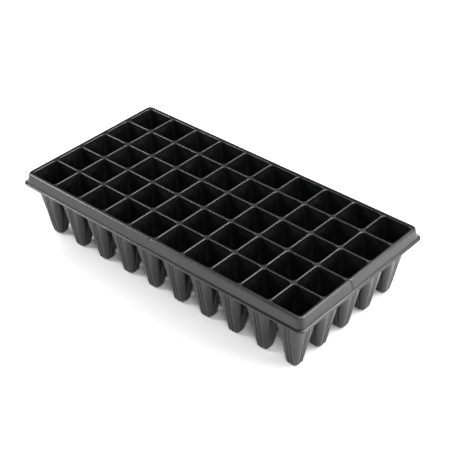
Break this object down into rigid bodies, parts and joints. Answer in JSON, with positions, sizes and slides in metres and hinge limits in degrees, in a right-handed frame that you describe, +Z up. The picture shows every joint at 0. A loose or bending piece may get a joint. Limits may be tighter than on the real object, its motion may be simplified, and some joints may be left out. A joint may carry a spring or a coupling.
{
  "type": "plug tray",
  "caption": "Deep black plastic plug tray for raising seedlings: square tapered cells with paired root grooves and drain holes, hung from a narrow web deck with a sloping skirt and flared lip.",
  "frame": {"origin": "middle of the footprint, level with the feet of the cells", "axes": "+X along the long side, +Y from the front long side to the back one, +Z up out of the cell mouths"},
  "size_m": [0.54, 0.28, 0.11],
  "materials": {
    "cell_plastic": "satin",
    "rim_plastic": "satin"
  },
  "bodies": {
    "root": {"cell_row1_col01": "cell_plastic", "cell_row1_col02": "cell_plastic", "cell_row1_col03": "cell_plastic", "cell_row1_col04": "cell_plastic", "cell_row1_col05": "cell_plastic", "cell_row1_col06": "cell_plastic", "cell_row1_col07": "cell_plastic", "cell_row1_col08": "cell_plastic", "cell_row1_col09": "cell_plastic", "cell_row1_col10": "cell_plastic", "cell_row2_col01": "cell_plastic", "cell_row2_col02": "cell_plastic", "cell_row2_col03": "cell_plastic", "cell_row2_col04": "cell_plastic", "cell_row2_col05": "cell_plastic", "cell_row2_col06": "cell_plastic", "cell_row2_col07": "cell_plastic", "cell_row2_col08": "cell_plastic", "cell_row2_col09": "cell_plastic", "cell_row2_col10": "cell_plastic", "cell_row3_col01": "cell_plastic", "cell_row3_col02": "cell_plastic", "cell_row3_col03": "cell_plastic", "cell_row3_col04": "cell_plastic", "cell_row3_col05": "cell_plastic", "cell_row3_col06": "cell_plastic", "cell_row3_col07": "cell_plastic", "cell_row3_col08": "cell_plastic", "cell_row3_col09": "cell_plastic", "cell_row3_col10": "cell_plastic", "cell_row4_col01": "cell_plastic", "cell_row4_col02": "cell_plastic", "cell_row4_col03": "cell_plastic", "cell_row4_col04": "cell_plastic", "cell_row4_col05": "cell_plastic", "cell_row4_col06": "cell_plastic", "cell_row4_col07": "cell_plastic", "cell_row4_col08": "cell_plastic", "cell_row4_col09": "cell_plastic", "cell_row4_col10": "cell_plastic", "cell_row5_col01": "cell_plastic", "cell_row5_col02": "cell_plastic", "cell_row5_col03": "cell_plastic", "cell_row5_col04": "cell_plastic", "cell_row5_col05": "cell_plastic", "cell_row5_col06": "cell_plastic", "cell_row5_col07": "cell_plastic", "cell_row5_col08": "cell_plastic", "cell_row5_col09": "cell_plastic", "cell_row5_col10": "cell_plastic", "skirt_front": "rim_plastic", "skirt_back": "rim_plastic", "skirt_left": "rim_plastic", "skirt_right": "rim_plastic", "lip_front": "rim_plastic", "lip_back": "rim_plastic", "lip_left": "rim_plastic", "lip_right": "rim_plastic"}
  },
  "joints": []
}
